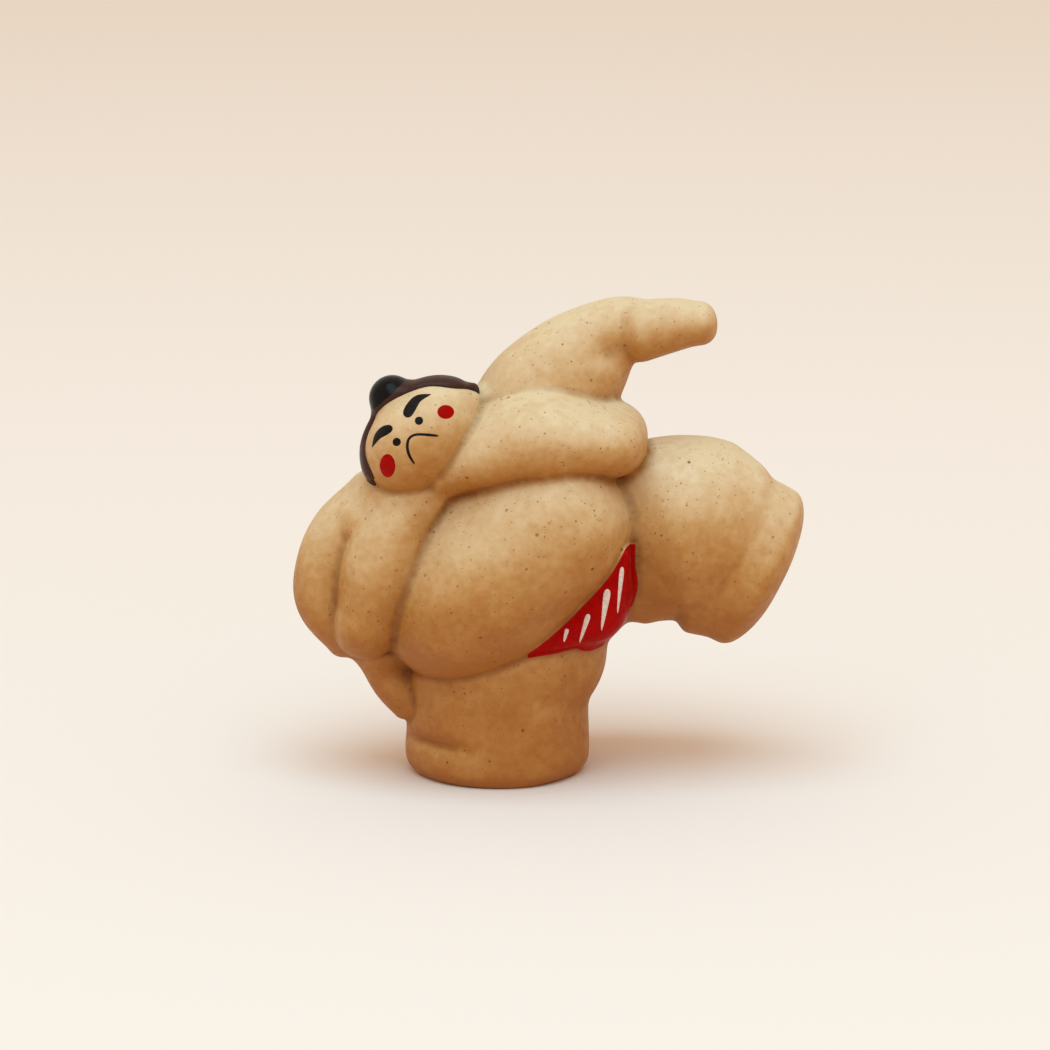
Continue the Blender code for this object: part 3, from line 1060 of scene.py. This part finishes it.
@dataclass(frozen=True)
class Head(ClayPart):
    """The head, with hair laid on it as a thin slab and pulled up into a topknot."""

    head: Ball = Ball(tuple(FACE_CENTRE), (7.9, 7, 5.8), FACE)
    topknot: Ball = Ball(tuple(FACE_CENTRE + FACE @ Vector((0.4, 0.8, 6.05))), (2.15, 2.6, 2.05), FACE)

    # The hairline across and up the face, and how finely it is followed
    hairline: tuple[tuple[float, float], ...] = (
        (-7.7, 0.1), (-6.4, 3.2), (-4, 5.25), (-0.6, 5.8), (4.2, 4.2), (6.8, 1.65), (8.2, 0.4))
    hairline_steps: int = 24

    # How far before the head's middle the hair starts at its sides, and the bend from there to the hairline.
    # Then the hair's thickness, the width of its rounded edge, and how deep it lies under the skin. In units
    hair_forward: float = -0.4
    hair_bend: float = 0.35
    hair_thickness: float = 0.7
    hair_edge: float = 0.8
    hair_bury: float = 0.4

    def behind_hairline(self, points: np.ndarray) -> np.ndarray:
        """Finds how far points lie behind the hairline.

        Args:
            points: Places on the head, in units.

        Returns:
            The distance of each, negative on the face.
        """
        u, into, v = ((points - np.array(FACE_CENTRE)) @ np.array(FACE)).T
        along, height = smooth_through(np.array(self.hairline), self.hairline_steps).T
        slope = np.interp(u, along, np.gradient(height, along))
        above = (v - np.interp(u, along, height)) / np.sqrt(1 + slope**2)
        behind = into + self.hair_forward
        return self.hair_bend * np.logaddexp(above / self.hair_bend, behind / self.hair_bend)

    def build_hair(self, parts: dict[str, Skin], names: list[str]) -> list[bpy.types.Object]:
        """Makes the hair and the topknot from the skin of the head.

        Args:
            parts: The skin of each lump.
            names: The lumps, in the order of the skin's distances.

        Returns:
            The hair and the topknot.
        """
        scalp, _ = parts["head"].cut(-self.behind_hairline(parts["head"].data[:, Skin.PLACE]))
        hair = scalp.joined(parts["topknot"]).trimmed().split()
        head, knot = (Skin.LUMPS + names.index(name) for name in ("head", "topknot"))
        under = hair.data[:, Skin.PLACE] - self.hair_bury * hair.data[:, Skin.NORMAL]
        share = np.clip(self.behind_hairline(hair.data[:, Skin.PLACE]) / self.hair_edge, 0, 1)
        hair = hair.raised(self.hair_thickness * np.sqrt(1 - (1 - share) ** 2))
        hair = Skin(np.hstack([hair.data, under]), hair.triangles)
        bun, cap = hair.cut(hair.data[:, knot] - hair.data[:, head])
        underside = slice(-3, None)
        return [finished(cap.shell("hair", under=underside), BROWN, "hair_cap"),
                finished(bun.shell("topknot_hair", under=underside), BLACK, "topknot")]

    def build(self, parts: dict[str, Skin], finish: Finish) -> list[bpy.types.Object]:
        """Makes the head's own piece. The topknot's is made with the hair."""
        return [finished(parts["head"].shell("head_skin"), finish, "head")]


@dataclass(frozen=True)
class Stroke:
    """A brush mark.

    Its path lies in a plane before the figure, in units, with half its width at each point. Its ends are
    round at a bluntness of 2, and squarer above that.
    """

    ROUND = 2.0

    node: str
    path: tuple[tuple[float, float], ...]
    half_widths: tuple[float, ...]
    finish: BrushedEnamel
    bluntness: float = 6.0


def dot(node: str, at: tuple[float, float], half_sizes: tuple[float, float], finish: BrushedEnamel,
        turn: float = 0) -> Stroke:
    """Makes a round or oval touch of the brush.

    Args:
        node: The CAD node that it stands for.
        at: Its middle, in units.
        half_sizes: Half its length and half its width, in units.
        finish: Its enamel.
        turn: The angle of its length, in degrees.

    Returns:
        The mark.
    """
    length, width = half_sizes
    along = Vector((length * math.cos(math.radians(turn)), length * math.sin(math.radians(turn))))
    steps = (-1, -0.5, 0, 0.5, 1)
    path = tuple(tuple(Vector(at) + along * step) for step in steps)
    return Stroke(node, path, (width,) * len(steps), finish, bluntness=Stroke.ROUND)


@dataclass(frozen=True)
class Brushwork:
    """Enamel marks laid on the skin: the face, and white strokes on the loincloth."""

    face: tuple[Stroke, ...] = (
        Stroke("left_brow", ((0.1, 2.95), (1.4, 3.45), (2.7, 3.65), (4.2, 3)), (0.66, 0.66, 0.48, 0.08), INK),
        Stroke("right_brow", ((-1.9, 3.1), (-2.95, 3.5), (-4, 3.55), (-5.35, 3.05)),
               (0.5, 0.6, 0.44, 0.08), INK),
        dot("left_eye", (1, 1.55), (0.5, 0.5), INK),
        dot("right_eye", (-2.7, 1.45), (0.5, 0.5), INK),
        Stroke("mouth", ((1.55, -1.4), (-0.2, 0.4), (-1.25, 0.75), (-2.1, 0.2), (-2.65, -0.75), (-2.9, -2)),
               (0.2, 0.15, 0.16, 0.17, 0.18, 0.17), INK),
        dot("left_cheek", (4.1, 0.2), (1.0, 0.85), RED, -42),
        dot("right_cheek", (-5.45, 0.1), (0.95, 1.4), RED, -42),
    )
    loincloth: tuple[Stroke, ...] = (
        Stroke("mawashi_stroke_1", ((-1.6, -3.2), (-2, -4.8)), (0.3, 0.12), WHITE),
        Stroke("mawashi_stroke_2", ((1, -1.4), (-0.1, -4.9)), (0.37, 0.12), WHITE),
        Stroke("mawashi_stroke_3", ((3.3, 1.65), (2.55, -3.4)), (0.5, 0.12), WHITE),
        Stroke("mawashi_stroke_4", ((5.05, 4.35), (4.5, -1.3)), (0.34, 0.1), WHITE),
    )

    # How far a mark stands above the skin and lies under it, and how near points are that weld, in units
    film: float = 0.07
    bury: float = 0.25
    weld: float = 0.002

    # Points along a mark and round it, how far before the figure its path is, in units, and the longest way
    # from there to the skin, in metres
    samples: int = 48
    sides: int = 28
    stand_off: float = 25.0
    cast: float = 1.0

    @staticmethod
    def ribbon(tree: bpy.types.GeometryNodeTree, given: bpy.types.Node) -> bpy.types.NodeSocket:
        """Sweeps a flat ribbon along the path, as wide as the mark.

        Args:
            tree: The tree.
            given: The node with its inputs.

        Returns:
            The ribbon. Its two layers are told apart by an attribute, lift.
        """
        line = add_node(tree, "GeometryNodeMeshToCurve", {"Mesh": given.outputs["Path"]})
        bent = add_node(tree, "GeometryNodeCurveSplineType", {"Curve": line.outputs[0]},
                        spline_type="CATMULL_ROM")
        fine = add_node(tree, "GeometryNodeResampleCurve", {
            "Curve": bent.outputs[0], "Count": given.outputs["Samples"]})
        along = add_node(tree, "GeometryNodeSplineParameter")
        centred = add_node(tree, "ShaderNodeMath", {0: along.outputs["Factor"], 1: 2.0, 2: -1.0},
                           operation="MULTIPLY_ADD")
        size = add_node(tree, "ShaderNodeMath", {0: centred.outputs[0]}, operation="ABSOLUTE")
        power = add_node(tree, "ShaderNodeMath", {0: size.outputs[0], 1: given.outputs["Bluntness"]},
                         operation="POWER")
        left = add_node(tree, "ShaderNodeMath", {0: 1.0, 1: power.outputs[0]}, operation="SUBTRACT")
        taper = add_node(tree, "ShaderNodeMath", {0: left.outputs[0]}, operation="SQRT")
        width = add_node(tree, "GeometryNodeInputNamedAttribute", {"Name": "half_width"}, data_type="FLOAT")
        radius = add_node(tree, "ShaderNodeMath", {0: width.outputs[0], 1: taper.outputs[0]},
                          operation="MULTIPLY")
        sized = add_node(tree, "GeometryNodeSetCurveRadius", {
            "Curve": fine.outputs[0], "Radius": radius.outputs[0]})
        way = add_node(tree, "GeometryNodeInputTangent")
        across = add_node(tree, "ShaderNodeVectorMath", {0: way.outputs[0], 1: given.outputs["Aim"]},
                          operation="CROSS_PRODUCT")
        framed = add_node(tree, "GeometryNodeSetCurveNormal", {
            "Curve": sized.outputs[0], "Normal": across.outputs[0]}, mode="FREE")
        ring = add_node(tree, "GeometryNodeCurvePrimitiveCircle", {
            "Resolution": given.outputs["Sides"], "Radius": 1.0})
        spot = add_node(tree, "GeometryNodeInputPosition")
        split = add_node(tree, "ShaderNodeSeparateXYZ", {0: spot.outputs[0]})
        lifted = add_node(tree, "GeometryNodeStoreNamedAttribute", {
            "Geometry": ring.outputs[0], "Name": "lift", "Value": split.outputs["Y"]},
            data_type="FLOAT", domain="POINT")
        flat = add_node(tree, "ShaderNodeCombineXYZ", {"X": split.outputs["X"]})
        profile = add_node(tree, "GeometryNodeSetPosition", {
            "Geometry": lifted.outputs[0], "Position": flat.outputs[0]})
        ribbon = add_node(tree, "GeometryNodeCurveToMesh", {
            "Curve": framed.outputs[0], "Profile Curve": profile.outputs[0], "Scale": radius.outputs[0]})
        return ribbon.outputs[0]

    def laid(self, tree: bpy.types.GeometryNodeTree, given: bpy.types.Node,
             ribbon: bpy.types.NodeSocket) -> bpy.types.NodeSocket:
        """Casts a ribbon onto the skin, with one layer above it and one below.

        Args:
            tree: The tree.
            given: The node with its inputs.
            ribbon: The ribbon.

        Returns:
            The film of enamel.
        """
        target = add_node(tree, "GeometryNodeObjectInfo", {"Object": given.outputs["Skin"]})
        hit = add_node(tree, "GeometryNodeRaycast", {
            "Target Geometry": target.outputs["Geometry"], "Ray Direction": given.outputs["Aim"],
            "Ray Length": self.cast})
        lift = add_node(tree, "GeometryNodeInputNamedAttribute", {"Name": "lift"}, data_type="FLOAT")
        over = add_node(tree, "ShaderNodeMath", {0: lift.outputs[0], 1: 0.0}, operation="MAXIMUM")
        under = add_node(tree, "ShaderNodeMath", {0: lift.outputs[0], 1: 0.0}, operation="MINIMUM")
        proud = add_node(tree, "ShaderNodeMath", {0: over.outputs[0], 1: given.outputs["Film"]},
                         operation="MULTIPLY")
        offset = add_node(tree, "ShaderNodeMath", {
            0: under.outputs[0], 1: given.outputs["Bury"], 2: proud.outputs[0]}, operation="MULTIPLY_ADD")
        step = add_node(tree, "ShaderNodeVectorMath", {
            0: hit.outputs["Hit Normal"], "Scale": offset.outputs[0]}, operation="SCALE")
        place = add_node(tree, "ShaderNodeVectorMath", {0: hit.outputs["Hit Position"], 1: step.outputs[0]},
                         operation="ADD")
        moved = add_node(tree, "GeometryNodeSetPosition", {"Geometry": ribbon, "Position": place.outputs[0]})
        return moved.outputs[0]

    def tree(self) -> bpy.types.GeometryNodeTree:
        """Builds the tree that sweeps a mark along its path and lays it on a skin.

        Returns:
            The tree, with its inputs named.
        """
        tree = bpy.data.node_groups.new("brush_mark", "GeometryNodeTree")
        for name, kind in (("Path", "Geometry"), ("Skin", "Object"), ("Aim", "Vector"), ("Film", "Float"),
                           ("Bury", "Float"), ("Bluntness", "Float"), ("Samples", "Int"), ("Sides", "Int"),
                           ("Enamel", "Material")):
            tree.interface.new_socket(name, in_out="INPUT", socket_type=f"NodeSocket{kind}")
        tree.interface.new_socket("Mark", in_out="OUTPUT", socket_type="NodeSocketGeometry")
        given = add_node(tree, "NodeGroupInput")
        film = self.laid(tree, given, self.ribbon(tree, given))
        merged = add_node(tree, "GeometryNodeMergeByDistance", {
            "Geometry": film, "Distance": self.weld * UNIT})
        smooth = add_node(tree, "GeometryNodeSetShadeSmooth", {"Geometry": merged.outputs[0]})
        real = add_node(tree, "GeometryNodeRealizeInstances", {"Geometry": smooth.outputs[0]})
        dressed = add_node(tree, "GeometryNodeSetMaterial", {
            "Geometry": real.outputs[0], "Material": given.outputs["Enamel"]})
        add_node(tree, "NodeGroupOutput", {"Mark": dressed.outputs[0]})
        return tree

    def lay(self, stroke: Stroke, origin: Vector, axes: Matrix, tree: bpy.types.GeometryNodeTree,
            skin: bpy.types.Object) -> bpy.types.Object:
        """Lays one mark on the skin.

        Args:
            stroke: The mark.
            origin: Where its path is measured from, in units.
            axes: Its axes: across, into the figure, and up.
            tree: The tree that lays marks.
            skin: The skin.

        Returns:
            The mark, as a plain mesh.
        """
        mesh = bpy.data.meshes.new(f"{stroke.node}_path")
        places = [(origin + axes @ Vector((u, -self.stand_off, v))) * UNIT for u, v in stroke.path]
        mesh.from_pydata(places, [(i, i + 1) for i in range(len(places) - 1)], [])
        width = mesh.attributes.new("half_width", "FLOAT", "POINT")
        width.data.foreach_set("value", [half * UNIT for half in stroke.half_widths])
        piece = bpy.data.objects.new(f"{stroke.node}_enamel", mesh)
        bpy.context.scene.collection.objects.link(piece)
        enamel = bpy.data.materials.get(stroke.finish.name) or stroke.finish.material()
        modifier = piece.modifiers.new("brush", "NODES")
        modifier.node_group = tree
        sizes = {"Skin": skin, "Aim": axes.col[1], "Film": self.film * UNIT, "Bury": self.bury * UNIT,
                 "Bluntness": stroke.bluntness, "Samples": self.samples, "Sides": self.sides,
                 "Enamel": enamel}
        for socket in tree.interface.items_tree:
            if socket.name in sizes:
                modifier[socket.identifier] = sizes[socket.name]
        evaluated = piece.evaluated_get(bpy.context.evaluated_depsgraph_get())
        laid = bpy.data.meshes.new_from_object(evaluated)
        piece.modifiers.clear()
        piece.data = laid
        laid.name = piece.name
        return finished(piece, stroke.finish, stroke.node)

    def build(self, skin: Skin) -> list[bpy.types.Object]:
        """Lays all the marks.

        Args:
            skin: The whole skin.

        Returns:
            The marks.
        """
        ground = skin.shell("brush_ground")
        tree = self.tree()
        marks = [self.lay(stroke, FACE_CENTRE, FACE, tree, ground) for stroke in self.face]
        marks += [self.lay(stroke, WAIST, LIFTED, tree, ground) for stroke in self.loincloth]
        bpy.data.objects.remove(ground)
        return marks


@dataclass(frozen=True)
class Studio:
    """A pale paper floor, a broad soft light overhead, warm light from all round, and the camera."""

    paper: str = "#F3ECE3"
    paper_roughness: float = 0.9
    paper_sheen: float = 0.1
    floor_size: float = 4.0

    # What shows behind the floor, and the light from all round: near the horizon, and from this height up
    backdrop: str = "#EADBCB"
    low_fill: str = "#F2B078"
    high_fill: str = "#E2CBB3"
    high_from: float = 0.5

    # The light overhead, in watts and metres
    key: str = "#B8E4FF"
    key_watts: float = 13.6
    key_size: float = 1.1
    key_place: tuple[float, float, float] = (-0.05, -0.45, 1.25)

    # What the camera looks at, how far away it is and how wide the frame is there, in metres, and its sensor
    target: tuple[float, float, float] = (0.00346, 0.0, 0.03104)
    distance: float = 0.6
    frame_width: float = 0.12963
    near_clip: float = 0.01
    sensor: float = 36.0

    def floor(self) -> None:
        """Lays matt paper, which shows soft shadows and no shine."""
        half = self.floor_size / 2
        mesh = bpy.data.meshes.new("paper_floor")
        corners = [(-half, -half, 0), (half, -half, 0), (half, half, 0), (-half, half, 0)]
        mesh.from_pydata(corners, [], [(0, 1, 2, 3)])
        floor = bpy.data.objects.new("paper_floor", mesh)
        bpy.context.scene.collection.objects.link(floor)
        paper, tree, shader = new_material("matt_paper")
        connect(tree, shader, {"Base Color": linear(self.paper), "Roughness": self.paper_roughness,
                               "Specular IOR Level": self.paper_sheen})
        mesh.materials.append(paper)

    def surround(self) -> None:
        """Makes the light from all round, and the backdrop that the camera and reflections see."""
        world = bpy.data.worlds.new("studio")
        world.use_nodes = True
        sky = world.node_tree
        coords = add_node(sky, "ShaderNodeTexCoord")
        way = add_node(sky, "ShaderNodeSeparateXYZ", {0: coords.outputs["Generated"]})
        rise = add_node(sky, "ShaderNodeMapRange", {"Value": way.outputs["Z"], "From Max": self.high_from})
        warm = add_node(sky, "ShaderNodeMix", {
            0: rise.outputs[0], 6: linear(self.low_fill), 7: linear(self.high_fill)}, data_type="RGBA")
        ray = add_node(sky, "ShaderNodeLightPath")
        seen = ray.outputs["Is Camera Ray"]
        for kind in ("Is Glossy Ray", "Is Transmission Ray"):
            either = add_node(sky, "ShaderNodeMath", {0: seen, 1: ray.outputs[kind]}, operation="MAXIMUM")
            seen = either.outputs[0]
        shown = add_node(sky, "ShaderNodeMix", {0: seen, 6: warm.outputs[2], 7: linear(self.backdrop)},
                         data_type="RGBA")
        sky.links.new(shown.outputs[2], sky.nodes["Background"].inputs["Color"])
        bpy.context.scene.world = world

    def lamp(self) -> None:
        """Hangs the light overhead."""
        lamp = bpy.data.lights.new("overhead", "AREA")
        lamp.energy = self.key_watts
        lamp.color = linear(self.key)[:3]
        lamp.size = self.key_size
        key = bpy.data.objects.new("overhead", lamp)
        key.location = self.key_place
        key.rotation_euler = (Vector(self.target) - key.location).to_track_quat("-Z", "Y").to_euler()
        bpy.context.scene.collection.objects.link(key)

    def camera(self) -> None:
        """Sets up the camera at the photograph's angle."""
        lens = bpy.data.cameras.new("camera")
        lens.sensor_width = self.sensor
        lens.lens = self.sensor * self.distance / self.frame_width
        lens.clip_start = self.near_clip
        camera = bpy.data.objects.new("camera", lens)
        camera.location = Vector(self.target) - LIFTED.col[1] * self.distance
        camera.rotation_euler = (math.radians(90 - VIEW_LIFT), 0, 0)
        bpy.context.scene.collection.objects.link(camera)
        bpy.context.scene.camera = camera

    def build(self) -> None:
        """Makes the floor, the lights and the camera."""
        bpy.context.scene.view_settings.view_transform = "Standard"
        self.floor()
        self.surround()
        self.lamp()
        self.camera()


# Lumps that meet, and how their seam was finished. A seam that isn't here was tooled
SEAMS = (
    ("shoulders", "left_arm right_arm left_breast right_breast", Seam.SMOOTHED),
    ("right_arm", "right_hand", Seam.SMOOTHED),
    ("pelvis left_buttock right_buttock", "standing_thigh raised_thigh belly shoulders", Seam.SMOOTHED),
    ("standing_thigh", "standing_foot", Seam.SMOOTHED),
    ("head", "left_arm", Seam.SMOOTHED),
    ("head", "topknot", Seam.SMOOTHED),
    ("head", "left_breast", Seam.PRESSED),
    ("left_breast", "right_breast", Seam.SMOOTHED),
    ("belly", "raised_thigh", Seam.PRESSED),
    ("raised_thigh", "raised_foot", Seam.THUMBED),
    ("left_arm", "left_breast", Seam.PRESSED),
    ("left_arm", "left_hand", Seam.THUMBED),
    ("belly", "shoulders", Seam.THUMBED),
    ("belly", "right_breast", Seam.PRESSED),
)
# How far a lump's skin laps over its neighbours', in units
LAPS = {"mawashi_front": 0.3, "mawashi_belt": 0.4, "mawashi_strap": 0.4, "mawashi_knot": 0.4, "belly": 0.3}
# Dents inside the left elbow, over the standing foot, and beside the right hand
PRESSES = (
    Press((13.6, -4.5, 53.4), (2.2, 3, 1.8), 0.7),
    Press((-8, -7, 5), (4.5, 5, 1), 0.75),
    Press((-12.6, -6, 13.3), (1.8, 3, 1.6), 0.8),
)


def main() -> None:
    """Builds the studio and the figurine, and logs each piece."""
    logging.basicConfig(level=logging.INFO)
    Studio().build()
    legs, torso, arms, hips, loincloth, head = Legs(), Torso(), Arms(), Hips(), Loincloth(), Head()
    shapes: dict[str, Lump | Ball] = {}
    for part in (legs, torso, arms, hips, loincloth, head):
        shapes.update(part.shapes())
    names = list(shapes)
    skin = ClayBody(shapes, SEAMS, PRESSES).skin()
    LOG.info("skin: %d triangles", len(skin.triangles))
    parts = cut_apart(skin, names, LAPS)
    head.build_hair(parts, names)
    for part in (legs, torso, arms, hips):
        part.build(parts, STONEWARE)
    loincloth.build(parts, RED)
    head.build(parts, STONEWARE)
    Brushwork().build(skin)


if __name__ == "__main__":
    main()
